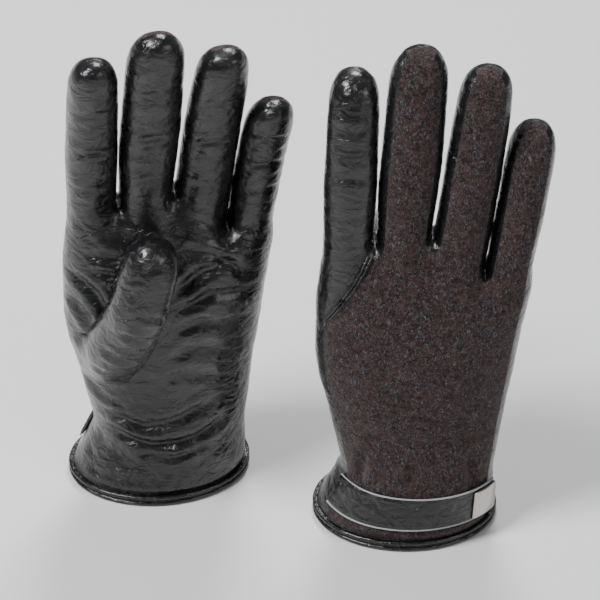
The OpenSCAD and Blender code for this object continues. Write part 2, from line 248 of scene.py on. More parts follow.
def knuckle_grid():
    """The grid of quads along the knuckle line, with its marks."""
    bm = bmesh.new()
    mark = {key: bm.verts.layers.int.new(key) for key in ("line", "row", "level", "part")}
    lines = len(FINGERS) * LINES_PER_FINGER
    bmesh.ops.create_grid(bm, x_segments=lines - 1, y_segments=2, size=0.5)
    for v in bm.verts:
        v[mark["line"]] = round((v.co.x + 0.5) * (lines - 1))
        v[mark["row"]] = round((v.co.y + 0.5) * 2)
    for v in bm.verts:
        line, row = v[mark["line"]], v[mark["row"]]
        name = FINGERS[line // LINES_PER_FINGER]
        v.co = finger_ring(name, mean_rise(name), 1, line % LINES_PER_FINGER - 1, row - 1)
    return bm, mark


def extrude_finger(bm, block, mark, k):
    """Extrudes finger k up from its own block of quads."""
    name = FINGERS[k]
    first = k * LINES_PER_FINGER
    length = finger[name]["top_z"] - knuckle_z
    middle = finger[name]["mid_z"] - knuckle_z
    low = mean_rise(name)
    dome = FULL_HALF[name]
    lower, upper = middle - low, length - dome - middle
    rings = [(low + 4 * MM, 1), (low + lower * 0.45, 1), (low + lower * 0.8, 1), (middle, 1),
             (middle + upper * 0.3, 1), (middle + upper * 0.65, 1)]
    rings += [(length - dome * below, size) for below, size in DOME_RINGS]
    for s, size in rings:
        last = (s, size) == rings[-1]

        def place(line, row):
            lifted = last and (line - first, row) == (1, 1)
            lift = Vector((0, 0, dome * TIP_LIFT if lifted else 0))
            return finger_ring(name, s, size, line - first - 1, row - 1) + lift

        block = extrude_cap(bm, block, place, mark)
        for v in {v for f in block for v in f.verts}:
            v[mark["part"]] = k + 1


# %% [markdown]
# The hand and the cuff go the other way: the grid's rim is extruded down, level by level, to the hem.
# Levels are closer together at the wrist, where the outline bends most. A hand is boxier across the
# knuckles than at the wrist, which `square`, the power of the ring's rounded shape, takes care of.
# Each face is then marked with its finger and with back or palm, because the marks outlive smoothing.

# %% Extruding the hand
HAND_LEVELS = np.concatenate([[knuckle_z - 12 * MM], np.linspace(knuckle_z - 22 * MM, 40 * MM, 8),
                              [32 * MM, 26 * MM, 19 * MM, 12 * MM, 5 * MM, 1 * MM]])
WRIST_SQUARE, KNUCKLE_SQUARE = 2.1, 3.2
ROUND_UP_TO = 80 * MM    # below this height the rings are as round as at the wrist


def hand_cage():
    """The whole glove's cage: fingers, hand, cuff and thumb."""
    bm, mark = knuckle_grid()
    rim = [e for e in bm.edges if e.is_boundary]
    blocks = [[f for f in bm.faces if all(v[mark["line"]] // LINES_PER_FINGER == k for v in f.verts)]
              for k in range(len(FINGERS))]
    for k, block in enumerate(blocks):
        extrude_finger(bm, block, mark, k)
    for n, z in enumerate(HAND_LEVELS):
        square = float(np.interp(z, [ROUND_UP_TO, knuckle_z], [WRIST_SQUARE, KNUCKLE_SQUARE]))
        out = bmesh.ops.extrude_edge_only(bm, edges=rim)
        rim = [g for g in out["geom"] if isinstance(g, bmesh.types.BMEdge) and g.is_boundary]
        for v in {v for e in rim for v in e.verts}:
            v.co = hand_ring(float(z), v[mark["line"]], v[mark["row"]], square)
            v[mark["level"]] = n + 1
    for f in bm.faces:
        part = max(v[mark["part"]] for v in f.verts)
        back = all(v[mark["row"]] == 0 for v in f.verts)
        if part and not back:
            ups = {v[mark["row"]] for v in f.verts}
            flat = len({(v[mark["line"]], v[mark["row"]]) for v in f.verts}) == 4
            back = flat and ups == {0, 1}
        f.material_index = part * 2 + int(back)
    add_thumb(bm, mark)
    bmesh.ops.recalc_face_normals(bm, faces=bm.faces)
    return bm


print(len(HAND_LEVELS), "levels from the knuckles to the hem")

# %% [markdown]
# ## The thumb
# The thumb lies across the palm in front of the index finger. Its rings are turned from facing out
# of the palm to running along the thumb, so the palm flows into it as one skin.

# %% The thumb, measured
THUMB = 5                                       # the thumb's mark, after the four fingers
ROOT_FROM_JOINT = Vector((-13, -23, -47)) * MM  # from the thumb's joint to its root in the palm
TOP_INWARD = Vector((2, 1, 0)) * MM             # from the thumb's middle line to its highest point
thumb_hinge = local(JOINTS["right_thumb_joint"]["pos_m"])
thumb_cloud = node_points("thumb_tip")
thumb_top = Vector(thumb_cloud[np.argmax(thumb_cloud[:, 2])])
thumb_axis = Vector(JOINTS["right_thumb_joint"]["axis"])
thumb_side = Vector((0, 1, 0)).cross(thumb_axis).normalized()
joint_aim = thumb_side.cross(thumb_axis)
joint_aim *= math.copysign(1, joint_aim.z)
from_hinge = np.abs((thumb_cloud - np.array(thumb_hinge)) @ np.array(joint_aim))
thumb_ring = thumb_cloud[from_hinge < from_hinge.min() + 1.2 * MM]
thumb_joint = Vector(thumb_ring.mean(0))
thumb_r = float(np.linalg.norm(thumb_ring - thumb_ring.mean(0), axis=1).max())
thumb_root = thumb_joint + ROOT_FROM_JOINT
low_aim = (thumb_joint - thumb_root).normalized()
high_aim = (thumb_top - TOP_INWARD - thumb_joint).normalized()
thumb_length = (thumb_top - thumb_joint).dot(high_aim)
print("thumb joint", [round(v, 4) for v in thumb_joint])
print("thumb radius", round(thumb_r, 4), "length above the joint", round(thumb_length, 4))

# %% [markdown]
# The thumb starts from a block of the palm's own quads, two wide and two high, so there is no join to
# hide. Its first rings are fat and face out of the palm; further up they turn to face along the thumb.

# %% Extruding the thumb
# Rings from root to joint: how far along, and the radius in mm
BASE_RINGS = ((0.42, 15.2), (0.62, 14.2), (0.82, 13.4), (1.0, 12.9))
# Rings from joint to tip: how far along, and the size as a share of the thumb's radius
TIP_RINGS = ((0.2, 1), (0.45, 1.0), (0.66, 0.97), (0.85, 0.84), (0.97, 0.5))
ROOT_LEVEL_UP = 6 * MM      # the block of quads is centred this far above the root
PALM_LEAN = 0.9             # how much the first rings lean out of the palm
THUMB_TIP_LIFT = 2.4 * MM   # how far the thumb tip's middle point is lifted


def thumb_place(centre, aim, radius, u, v):
    """One cage point on a ring round the thumb: u runs across and v up the ring."""
    side = Vector((0, 1, 0)).cross(aim)
    side = (side if side.length > 0.3 else Vector((1, 0, 0))).normalized()
    if aim.z < 0.35:
        side = Vector((1, 0, 0))
    up = side.cross(aim).normalized()
    corner = CORNER if u and v else 1
    return centre + (side * u + up * v) * radius * corner * SWELL


def add_thumb(bm, mark):
    """Extrudes the thumb out of the palm's quads."""
    centre_level = int(np.argmin(np.abs(HAND_LEVELS - (thumb_root.z + ROOT_LEVEL_UP)))) + 1
    span = {centre_level - 1, centre_level, centre_level + 1}
    patch = [f for f in bm.faces if all(
        v[mark["row"]] == 2 and v[mark["line"]] in (0, 1, 2) and v[mark["level"]] in span
        and v[mark["part"]] == 0 and v.co.z < knuckle_z - MM for v in f.verts)]
    print("thumb grows from", len(patch), "faces")
    for f in patch:
        for v in f.verts:
            v[mark["row"]] = centre_level - v[mark["level"]] + 1
    before = set(bm.faces)
    block = patch
    for share, radius in BASE_RINGS:
        aim = (low_aim + Vector((0, 1, 0)) * (1 - share) * PALM_LEAN).normalized()
        if share == 1.0:
            aim = (low_aim + high_aim).normalized()
        centre = thumb_root.lerp(thumb_joint, share)
        block = extrude_cap(bm, block, lambda line, row, c=centre, a=aim, r=radius: thumb_place(
            c, a, r * MM, line - 1, row - 1), mark)
    for share, size in TIP_RINGS:
        centre = thumb_joint + high_aim * thumb_length * share
        top = high_aim * (THUMB_TIP_LIFT if (share, size) == TIP_RINGS[-1] else 0)
        block = extrude_cap(bm, block, lambda line, row, c=centre, s=size, top=top: thumb_place(
            c, high_aim, thumb_r * s, line - 1, row - 1) + (top if (line, row) == (1, 1) else Vector()), mark)
    for f in bm.faces:
        if f not in before:
            f.material_index = THUMB * 2


# %% [markdown]
# ## One smooth skin
# Subdivision Surface rounds the cage. Its result is kept as a plain mesh, so that the pieces can be
# cut out of it. Marks on faces are carried in the material index, which the modifier hands on.

# %% From cage to skin
def baked(obj):
    """Puts the result of obj's modifiers, or of a curve, into a plain mesh object of the same name."""
    bpy.context.view_layer.update()
    mesh = bpy.data.meshes.new_from_object(obj.evaluated_get(bpy.context.evaluated_depsgraph_get()))
    name = obj.name
    bpy.data.objects.remove(obj)
    out = bpy.data.objects.new(name, mesh)
    bpy.context.scene.collection.objects.link(out)
    return out


cage_mesh = bpy.data.meshes.new("skin")
cage = hand_cage()
for _ in range((THUMB + 1) * 2):
    cage_mesh.materials.append(None)
cage.to_mesh(cage_mesh)
cage.free()
skin = bpy.data.objects.new("skin", cage_mesh)
bpy.context.scene.collection.objects.link(skin)
rounding = skin.modifiers.new("round", "SUBSURF")
rounding.levels = rounding.render_levels = 3
skin = baked(skin)
print("skin:", len(skin.data.vertices), "vertices")
print("marks:", sorted({p.material_index for p in skin.data.polygons}))

# %% [markdown]
# ## Cutting lines
# The skin is cut with flat planes where one piece of the glove ends and the next begins: at the wrist
# seam, along the diagonal seam on the back, above each gap between fingers, at each finger's middle
# joint and below the thumb's joint. The cuts only add edges, so the skin stays closed.

# %% Cutting the skin
ROOT_CUT = {"index": 12, "middle": 15, "ring": 15, "little": 2}     # mm above the knuckle line
seam_z = float(node_points("cuff_back")[:, 2].max())
CUFF_REACH = 30 * MM         # only faces below this are cut at the wrist seam
DIAGONAL_REACH = 70 * MM     # only faces above this are cut along the diagonal seam
TIP_CUT = 4 * MM             # a fingertip piece begins this far below the middle joint
THUMB_CUT = 7 * MM           # and the thumb's tip piece this far below its joint
diagonal_from = Vector((-50, 0, 86)) * MM
diagonal_to = Vector((-13.5, 0, 150)) * MM
diagonal_way = (diagonal_to - diagonal_from).normalized()
diagonal_no = Vector((-diagonal_way.z, 0, diagonal_way.x))      # points to the index finger's side
thumb_cut = thumb_joint - high_aim * THUMB_CUT
whole = bmesh.new()
whole.from_mesh(skin.data)


def cut(faces, point, normal):
    """Adds edges where a plane crosses the faces."""
    edges = {e for f in faces for e in f.edges}
    verts = {v for f in faces for v in f.verts}
    bmesh.ops.bisect_plane(whole, geom=list(faces) + list(edges) + list(verts), dist=1e-6,
                           plane_co=point, plane_no=normal)


def of_part(*marks):
    """The skin's faces that carry one of the marks."""
    return [f for f in whole.faces if f.material_index in marks]


cut([f for f in of_part(0, 1) if f.calc_center_median().z < CUFF_REACH], (0, 0, seam_z), (0, 0, 1))
cut([f for f in of_part(1) if f.calc_center_median().z > DIAGONAL_REACH], diagonal_from, diagonal_no)
for k, name in enumerate(FINGERS):
    marks = (k * 2 + 2, k * 2 + 3)
    cut(of_part(*marks), (0, 0, knuckle_z + ROOT_CUT[name] * MM), (0, 0, 1))
    cut(of_part(*marks), (0, 0, finger[name]["mid_z"] - TIP_CUT), (0, 0, 1))
cut(of_part(THUMB * 2), thumb_cut, high_aim)
bpy.data.objects.remove(skin)
print("cut skin:", len(whole.faces), "faces")

# %% [markdown]
# ## Folds
# Thin leather over a hand falls into folds: a fan of them above the thumb, gathers where the fingers
# begin, a swag of them over the wrist elastic and a short crease across each joint. Each fold here is
# a line drawn on the palm or the back; the skin sinks along it and rises beside it, as leather does.
# Wool cloth is thicker, so the back only has two darts above the strap and two shallow folds.

# %% One fold
def crease(co, normals, allowed, line, depth, width, way):
    """How far each point moves along its normal for a fold along line, whose points are x and z in mm.

    The fold lies on the palm if way is 1 and on the back if it is -1.
    """
    path = np.array(line, float) * MM
    best = np.full(len(co), 1e3)
    along = np.zeros(len(co))
    steps = len(path) - 1
    for i in range(steps):
        a, d = path[i], path[i + 1] - path[i]
        t = np.clip(((co[:, [0, 2]] - a) @ d) / (d @ d), 0, 1)
        gap = np.linalg.norm(co[:, [0, 2]] - a - t[:, None] * d, axis=1)
        nearer = gap < best
        best[nearer], along[nearer] = gap[nearer], ((i + t) / steps)[nearer]
    fade = smooth(np.minimum(along, 1 - along) * 4 + 0.12)
    facing = smooth(normals[:, 1] * way * 1.6)
    w = width * MM
    shape = -np.exp(-(best / w) ** 2) + 0.6 * np.exp(-((best - 2.1 * w) / (1.1 * w)) ** 2)
    return shape * fade * facing * allowed * depth * MM


# %% [markdown]
# The folds are listed one by one: each has its line, how deep it sinks in mm and its half width in mm.
# The palm has the most, the thumb and the back have a few, and each finger has three short creases
# where it bends, deeper on the palm side. A little unevenness and a fine ripple go over everything,
# and the hem stays flat so that the glove still stands.

# %% All the folds
whole.verts.ensure_lookup_table()
whole.normal_update()
co = np.array([v.co for v in whole.verts])
normals = np.array([v.normal for v in whole.verts])
part = np.array([max(f.material_index for f in v.link_faces) // 2 for v in whole.verts])
on_thumb = (part == THUMB).astype(float)
off_thumb = 1 - on_thumb
PALM_FOLDS = [
    ([(8, 110), (22, 120), (40, 123)], 1.6, 2.4), ([(10, 101), (24, 108), (45, 106)], 1.5, 2.3),
    ([(7, 90), (18, 95), (40, 90)], 1.0, 2.6), ([(4, 75), (16, 82), (33, 76)], 0.9, 2.8),
    ([(-2, 62), (10, 68), (28, 63)], 0.8, 2.6), ([(-30, 131), (-12, 126), (10, 130)], 1.7, 2.3),
    ([(-36, 120), (-26, 110), (-20, 98)], 1.5, 2.1), ([(12, 130), (26, 127), (42, 115)], 1.3, 2.0),
    ([(-27, 122), (-14, 120), (-4, 126)], 1.5, 1.9), ([(-37, 106), (-30, 96), (-28, 86)], 1.2, 2.0),
    ([(-27, 47), (-8, 40), (10, 44), (30, 53)], 1.3, 2.3),
    ([(-24, 36), (-4, 30), (16, 32), (33, 41)], 1.6, 2.2),
    ([(-14, 27), (6, 24), (24, 29)], 1.0, 1.7), ([(-33, 60), (-24, 52), (-14, 50)], 1.0, 2.0),
    ([(-30, 137), (-22, 134)], 0.7, 1.4), ([(-8, 143), (3, 139)], 0.8, 1.5),
    ([(16, 144), (28, 139)], 0.8, 1.5), ([(38, 131), (50, 129)], 0.8, 1.5),
    ([(-5, 134), (6, 130)], 0.7, 1.4), ([(22, 134), (32, 130)], 0.7, 1.4),
]
THUMB_FOLDS = [
    ([(-18, 106), (-4, 99)], 1.1, 1.6), ([(-12, 118), (6, 110)], 0.8, 1.4),
    ([(-26, 92), (-10, 84)], 1.0, 1.8), ([(-30, 78), (-16, 70)], 1.0, 1.8),
]
BACK_FOLDS = [
    ([(-20, 27), (-17, 46)], 1.3, 1.7), ([(31, 27), (28, 47)], 1.3, 1.7),
    ([(26, 136), (36, 124), (50, 126)], 1.0, 2.2), ([(-26, 60), (0, 52), (34, 58)], 0.7, 3.5),
    ([(2, 30), (5, 44)], 0.8, 2.0), ([(-30, 130), (-22, 118)], 0.7, 2.0),
]
# Creases across a finger: how far up it, and how deep in mm
FINGER_CREASES = ((0.28, 0.5), (0.5, 0.8), (0.74, 0.55))
UNEVEN, RIPPLE = 0.42, 0.15             # mm
SINK_MOST, RISE_MOST = 2.4 * MM, 1.8 * MM
FLAT_TO, FREE_OVER = 4 * MM, 10 * MM    # the hem stays flat up to here; the folds come in over this
move = np.zeros(len(co))
for line, depth, width in PALM_FOLDS:
    move += crease(co, normals, off_thumb, line, depth, width, 1)
for line, depth, width in THUMB_FOLDS:
    move += crease(co, normals, on_thumb, line, depth, width, 1)
for line, depth, width in BACK_FOLDS:
    move += crease(co, normals, off_thumb, line, depth, width, -1)
for k, name in enumerate(FINGERS):
    f = finger[name]
    mine = (part == k + 1).astype(float)
    for s, depth in FINGER_CREASES:
        z = (knuckle_z + s * (f["top_z"] - knuckle_z)) / MM
        x = (f["x"] + f["lean"] * (z * MM - knuckle_z)) / MM
        move += crease(co, normals, mine, [(x - 9, z - 1.5), (x, z + 1), (x + 9, z - 1)], depth, 1.7, 1)
        move += crease(co, normals, mine, [(x - 8, z + 3), (x + 8, z + 2)], depth * 0.45, 2.0, -1)
uneven = np.array([noise.fractal(Vector(p) * 55, 0.6, 2.1, 3) for p in co])
ripple = np.array([noise.noise(Vector((p[0] * 60, p[1] * 60, p[2] * 190))) for p in co])
above_hem = smooth((co[:, 2] - FLAT_TO) / FREE_OVER)
on_palm = 0.6 + 0.4 * smooth(normals[:, 1] + 0.5)
move = (move + (uneven * UNEVEN + ripple * RIPPLE) * MM * on_palm) * above_hem
move = np.clip(move, -SINK_MOST, RISE_MOST)
for v, d in zip(whole.verts, move):
    v.co += v.normal * float(d)
print("folds move the skin", round(float(move.min()) / MM, 2), "to", round(float(move.max()) / MM, 2), "mm")

# %% [markdown]
# The skin's last few millimetres are drawn in to lie just under the hem binding, as a bound edge does.

# %% Tucking the skin under the hem
TUCK = 0.1 * MM
TUCK_FROM, TUCK_OVER = 5 * MM, 4 * MM
tucked = 0
for v, piece_part in zip(whole.verts, part):
    under = 1 - float(smooth((v.co.z - TUCK_FROM) / TUCK_OVER))
    if under > 0 and piece_part == 0:
        cx, a, b = outline(v.co.z)
        reach = math.hypot((v.co.x - cx) / a, v.co.y / b)
        if reach > 0.5:
            fit = 1 + ((1 - TUCK / b) / reach - 1) * under
            v.co.x = cx + (v.co.x - cx) * fit
            v.co.y *= fit
            tucked += 1
print(tucked, "points tucked under the hem")

# %% [markdown]
# ## Materials
# Every piece carries its place on the glove's pattern, before it is set in place and bent, as the
# attribute `pattern`. The grain and the wool's flecks are drawn on it, so they run on across the cuts,
# match on both gloves and stay put when a finger bends.
# These helpers build small node trees: a Principled surface, noises, colour ramps and bumps.

# %% Helpers for the materials
def material(name, colour, roughness, metallic=0.0):
    """A plain Principled material, with its tree and its surface node."""
    mat = bpy.data.materials.new(name)
    mat.use_nodes = True
    bsdf = mat.node_tree.nodes["Principled BSDF"]
    bsdf.inputs["Base Color"].default_value = (*colour, 1)
    bsdf.inputs["Roughness"].default_value = roughness
    bsdf.inputs["Metallic"].default_value = metallic
    return mat, mat.node_tree, bsdf


def node(tree, kind, **settings):
    """A shader node, with settings given by input or property name."""
    new = tree.nodes.new("ShaderNode" + kind)
    for key, value in settings.items():
        if key in new.inputs:
            new.inputs[key].default_value = value
        else:
            setattr(new, key, value)
    return new


def pattern(tree, stretch=(1, 1, 1)):
    """The place on the glove's pattern, stretched where a grain runs one way."""
    place = node(tree, "Attribute", attribute_name="pattern")
    scale = node(tree, "VectorMath", operation="MULTIPLY")
    scale.inputs[1].default_value = stretch
    tree.links.new(place.outputs["Vector"], scale.inputs[0])
    return scale.outputs[0]


def noise_node(tree, where, scale, detail=3.0, distortion=0.0):
    """A noise texture's grey value."""
    tex = node(tree, "TexNoise")
    tex.inputs["Scale"].default_value = scale
    tex.inputs["Detail"].default_value = detail
    tex.inputs["Distortion"].default_value = distortion
    tree.links.new(where, tex.inputs["Vector"])
    return tex.outputs["Fac"]


def ramp(tree, factor, stops):
    """A colour ramp with stops of a position and a colour."""
    new = tree.nodes.new("ShaderNodeValToRGB")
    bar = new.color_ramp
    while len(bar.elements) < len(stops):
        bar.elements.new(0.5)
    for element, (at, colour) in zip(bar.elements, stops):
        element.position = at
        element.color = (*colour, 1)
    tree.links.new(factor, new.inputs[0])
    return new.outputs[0]


def bump(tree, height, distance, below=None, strength=1.0):
    """A bump of the given depth, over another one if below is given."""
    new = tree.nodes.new("ShaderNodeBump")
    new.inputs["Distance"].default_value = distance
    new.inputs["Strength"].default_value = strength
    tree.links.new(height, new.inputs["Height"])
    if below is not None:
        tree.links.new(below, new.inputs["Normal"])
    return new.outputs[0]


def grey(value):
    """A grey as a colour, for ramps that drive a roughness."""
    return (value,) * 3


# %% [markdown]
# ## Leather
# Glove leather is thin nappa: near black, a soft gloss with a fine pebble grain and small creases.
# The creases are a stretched noise and the grain is the edges of small Voronoi cells; a thin coat
# over both gives the clean highlight that a dressed leather has.

# %% The leather
def leather_material():
    """Black nappa leather."""
    mat, tree, bsdf = material("black_leather_nappa", (0.012, 0.012, 0.014), 0.34)
    where = pattern(tree)
    tone = ramp(tree, noise_node(tree, where, 70, 4),
                [(0.3, (0.0035, 0.0035, 0.004)), (0.75, (0.009, 0.0088, 0.010))])
    tree.links.new(tone, bsdf.inputs["Base Color"])
    gloss = ramp(tree, noise_node(tree, where, 160, 5), [(0.3, grey(0.2)), (0.72, grey(0.36))])
    tree.links.new(gloss, bsdf.inputs["Roughness"])
    creases = bump(tree, noise_node(tree, pattern(tree, (1, 1, 1.7)), 105, 5, 1.4), 1.5 * MM)
    cells = node(tree, "TexVoronoi", feature="DISTANCE_TO_EDGE")
    cells.inputs["Scale"].default_value = 1150
    tree.links.new(where, cells.inputs["Vector"])
    fine = bump(tree, cells.outputs["Distance"], 0.10 * MM, creases, 0.55)
    tree.links.new(fine, bsdf.inputs["Normal"])
    bsdf.inputs["IOR"].default_value = 1.5
    bsdf.inputs["Coat Weight"].default_value = 0.3
    bsdf.inputs["Coat Roughness"].default_value = 0.16
    return mat


MATERIAL = {"black_leather": leather_material()}
print("made", MATERIAL["black_leather"].name)

# %% [markdown]
# ## Wool
# The wool is a melange: brown fibres with loose blue-grey ones, matt, with a fuzz that catches light.
# A ramp over one noise gives the browns, and a finer noise, drawn out along the hand, picks the flecks.
# Two bumps make the loops and the fuzz over them, and a little sheen lights the fuzz at the edges.

# %% The wool
FLECK = (0.095, 0.112, 0.135, 1)


def wool_material():
    """Brown wool cloth with blue-grey flecks."""
    mat, tree, bsdf = material("brown_wool_melange", (0.07, 0.045, 0.04), 0.95)
    where = pattern(tree)
    broad = ramp(tree, noise_node(tree, where, 420, 4, 1.2),
                 [(0.34, (0.009, 0.006, 0.006)), (0.5, (0.032, 0.018, 0.016)), (0.68, (0.066, 0.041, 0.036))])
    flecks = ramp(tree, noise_node(tree, pattern(tree, (1, 1, 0.55)), 900, 3, 2.0),
                  [(0.55, grey(0)), (0.68, grey(1))])
    mix = node(tree, "Mix", data_type="RGBA")
    tree.links.new(flecks, mix.inputs["Factor"])
    tree.links.new(broad, mix.inputs[6])
    mix.inputs[7].default_value = FLECK
    tree.links.new(mix.outputs[2], bsdf.inputs["Base Color"])
    loops = bump(tree, noise_node(tree, where, 560, 5, 1.5), 0.8 * MM)
    fuzz = bump(tree, noise_node(tree, where, 1900, 3, 1.0), 0.25 * MM, loops)
    tree.links.new(fuzz, bsdf.inputs["Normal"])
    bsdf.inputs["Sheen Weight"].default_value = 0.22
    bsdf.inputs["Sheen Roughness"].default_value = 0.5
    bsdf.inputs["Sheen Tint"].default_value = (0.55, 0.5, 0.5, 1)
    bsdf.inputs["Specular IOR Level"].default_value = 0.2
    return mat


MATERIAL["wool_cloth"] = wool_material()
print("made", MATERIAL["wool_cloth"].name)

# %% [markdown]
# ## Lining, edge paint, metal and thread
# The lining is a fine rib knit, drawn with waves. The strap's cut edges have a pale, slightly uneven
# paint. The metal is polished, with a faint unevenness in its gloss, and the thread is waxed.

# %% The small materials
def knit_material():
    """Dark rib knit."""
    mat, tree, bsdf = material("dark_knit_lining", (0.09, 0.09, 0.1), 0.9)
    ribs = node(tree, "TexWave", bands_direction="X")
    ribs.inputs["Scale"].default_value = 320
    ribs.inputs["Distortion"].default_value = 1.0
    tree.links.new(pattern(tree), ribs.inputs["Vector"])
    tree.links.new(bump(tree, ribs.outputs["Fac"], 0.4 * MM), bsdf.inputs["Normal"])
    bsdf.inputs["Sheen Weight"].default_value = 0.2
    return mat


def edge_material():
    """Pale paint on a cut leather edge."""
    mat, tree, bsdf = material("pale_edge_paint", (0.36, 0.36, 0.38), 0.45)
    tree.links.new(bump(tree, noise_node(tree, pattern(tree), 900, 2), 0.08 * MM), bsdf.inputs["Normal"])
    return mat


def metal_material():
    """Polished metal. It reads Object coordinates, because the press stud carries no pattern."""
    mat, tree, bsdf = material("polished_metal", (0.44, 0.41, 0.39), 0.2, 1.0)
    place = node(tree, "TexCoord")
    gloss = ramp(tree, noise_node(tree, place.outputs["Object"], 500, 3),
                 [(0.3, grey(0.1)), (0.7, grey(0.2))])
    tree.links.new(gloss, bsdf.inputs["Roughness"])
    return mat


def thread_material():
    """Black waxed thread."""
    mat, tree, bsdf = material("black_waxed_thread", (0.035, 0.034, 0.036), 0.55)
    tree.links.new(bump(tree, noise_node(tree, pattern(tree), 2500, 2), 0.06 * MM), bsdf.inputs["Normal"])
    return mat


MATERIAL |= {"knit_lining": knit_material(), "edge_paint": edge_material(),
             "polished_metal": metal_material(), "thread": thread_material()}
print("materials:", ", ".join(m.name for m in MATERIAL.values()))

# %% [markdown]
# ## Panels
# Each cut region becomes a panel of its own, named after the CAD piece it stands for. Neighbouring
# panels of one leather keep the whole skin's normals along their shared edge, so a glove reads as one
# skin. A finger panel is listed with the hand's body, the finger's body and a 20 mm stretch over the
# knuckle, and a fingertip panel the same at the middle joint; these panels are only set in place, not
# attached to a body.

# %% Naming the panels
def panel_of(face):
    """The CAD piece that a face of the skin belongs to."""
    centre = face.calc_center_median()
    part, back = face.material_index // 2, face.material_index % 2
    if part == THUMB:
        return "thumb_tip" if (centre - thumb_cut).dot(high_aim) > 0 else "thumb_base"
    if part:
        name = FINGERS[part - 1]
        if centre.z > knuckle_z + ROOT_CUT[name] * MM:
            half = "tip" if centre.z > finger[name]["mid_z"] - TIP_CUT else "base"
            if not WOOL_BACK[part]:
                return f"{name}_{half}"
            return f"{name}_{half}_{'back' if back else 'palm'}"
        if back:
            return "hand_back" if WOOL_BACK[part] else "index_quarter"
        return "hand_palm"
    if centre.z < seam_z:
        return "cuff_back" if back else "cuff_palm"
    if not back:
        return "hand_palm"
    return "index_quarter" if (centre - diagonal_from).dot(diagonal_no) > 0 else "hand_back"


whole.normal_update()
normal_layer = whole.verts.layers.float_vector.new("whole_normal")
panel_layer = whole.faces.layers.int.new("panel")
for v in whole.verts:
    v[normal_layer] = v.normal
panel_names = []
for f in whole.faces:
    label = panel_of(f)
    if label not in panel_names:
        panel_names.append(label)
    f[panel_layer] = panel_names.index(label)
    f.material_index = 0
print(len(panel_names), "panels:", ", ".join(sorted(panel_names)))

# %% [markdown]
# A piece is made once and settled twice: `settle` writes its place on the pattern, gives it its
# material, sets a copy in place for each hand, turns the left one's faces round because mirroring
# has turned them inside out, and attaches each copy to the body it rides on; a piece listed with two bodies
# is only set in place.

# %% Settling a piece on both gloves
KNUCKLE_BEND = 20 * MM      # the stretch listed for a finger panel's turn from the hand onto the finger
MIDDLE_BEND = 18 * MM       # and a fingertip panel onto the fingertip
THUMB_BEND = 16 * MM


def slot_of(name):
    """The material slot of a piece, by its name."""
    if name in ("strap_plate", "stud_post", "stud_socket"):
        return "polished_metal"
    if name == "strap_edging":
        return "edge_paint"
    if name in ("hand_lining", "wrist_elastic"):
        return "knit_lining"
    return "wool_cloth" if name.endswith("_back") else "black_leather"


def settle(obj, name, body, nodes=(), material_name=None, keep_normals=False):
    """Makes the right and left copies of a piece, each in its own place with its material, attached to its
    body when it is given one body.
    """
    slot_name = slot_of(name)
    mesh = obj.data
    places = np.zeros(len(mesh.vertices) * 3)
    mesh.vertices.foreach_get("co", places)
    layer = mesh.attributes.get("pattern") or mesh.attributes.new("pattern", "FLOAT_VECTOR", "POINT")
    layer.data.foreach_set("vector", places)
    mesh.materials.clear()
    mesh.materials.append(MATERIAL[material_name or slot_name])
    smooth_from = None
    if keep_normals:
        smooth_from = np.zeros(len(mesh.vertices) * 3)
        mesh.attributes["whole_normal"].data.foreach_get("vector", smooth_from)
        smooth_from = smooth_from.reshape(-1, 3)
    for side in SIDES:
        own = mesh.copy()
        turn = PLACE[side]
        own.transform(turn)
        if side == "left":
            own.flip_normals()
        own.polygons.foreach_set("use_smooth", [True] * len(own.polygons))
        if keep_normals:
            turned = smooth_from @ np.array(turn.to_3x3()).T
            own.attributes.remove(own.attributes["whole_normal"])
            own.normals_split_custom_set_from_vertices(turned.tolist())
        piece = bpy.data.objects.new(f"{side}_{name}_piece", own)
        bpy.context.scene.collection.objects.link(piece)
        if nodes:
            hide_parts(*[f"{side}_{n}" for n in nodes])
        if isinstance(body, str):
            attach(piece, f"{side}_{body}")
        else:
            first, second, start, end = body
            tuple(turn @ Vector(start))
            tuple(turn @ Vector(end))
            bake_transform(piece)
    bpy.data.objects.remove(obj)


def way_of(name):
    """The body a panel rides on, or the two bodies and the stretch over which it turns."""
    stem = name.split("_")[0]
    if stem in FINGERS and name != "index_quarter":
        f = finger[stem]
        low = knuckle_z + ROOT_CUT[stem] * MM
        mid = f["mid_z"] - TIP_CUT
        if "_base" in name:
            return ("hand", stem + "_base", (f["x"], 0, low), (f["x"], 0, low + KNUCKLE_BEND))
        return (stem + "_base", stem + "_tip", (f["x"], 0, mid), (f["x"], 0, mid + MIDDLE_BEND))
    if name == "thumb_tip":
        return ("hand", "thumb_tip", tuple(thumb_cut), tuple(thumb_cut + high_aim * THUMB_BEND))
    return "hand"


def skin_patch(name, keep, inset=0.0):
    """A copy of part of the skin, moved in by inset."""
    whole.faces.index_update()
    kept = {f.index for f in whole.faces if keep(f)}
    bm = whole.copy()
    bm.faces.index_update()
    bmesh.ops.delete(bm, geom=[f for f in bm.faces if f.index not in kept], context="FACES")
    if inset:
        shift = bm.verts.layers.float_vector["whole_normal"]
        for v in bm.verts:
            v.co -= v[shift] * inset
        for f in bm.faces:
            f.normal_flip()
    mesh = bpy.data.meshes.new(name)
    bm.to_mesh(mesh)
    bm.free()
    obj = bpy.data.objects.new(name, mesh)
    bpy.context.scene.collection.objects.link(obj)
    return obj


for k, name in enumerate(panel_names):
    panel = skin_patch(name, lambda f, k=k: f[panel_layer] == k)
    settle(panel, name, way_of(name), (name,), keep_normals=True)
print("panels settled on both gloves:", len(panel_names) * len(SIDES))

# %% [markdown]
# ## Lining and wrist elastic
# The lining is the hand's own skin moved inward, so it follows every fold with the same room. A short
# elastic is sewn between it and the palm, which is what gathers the leather over the wrist.

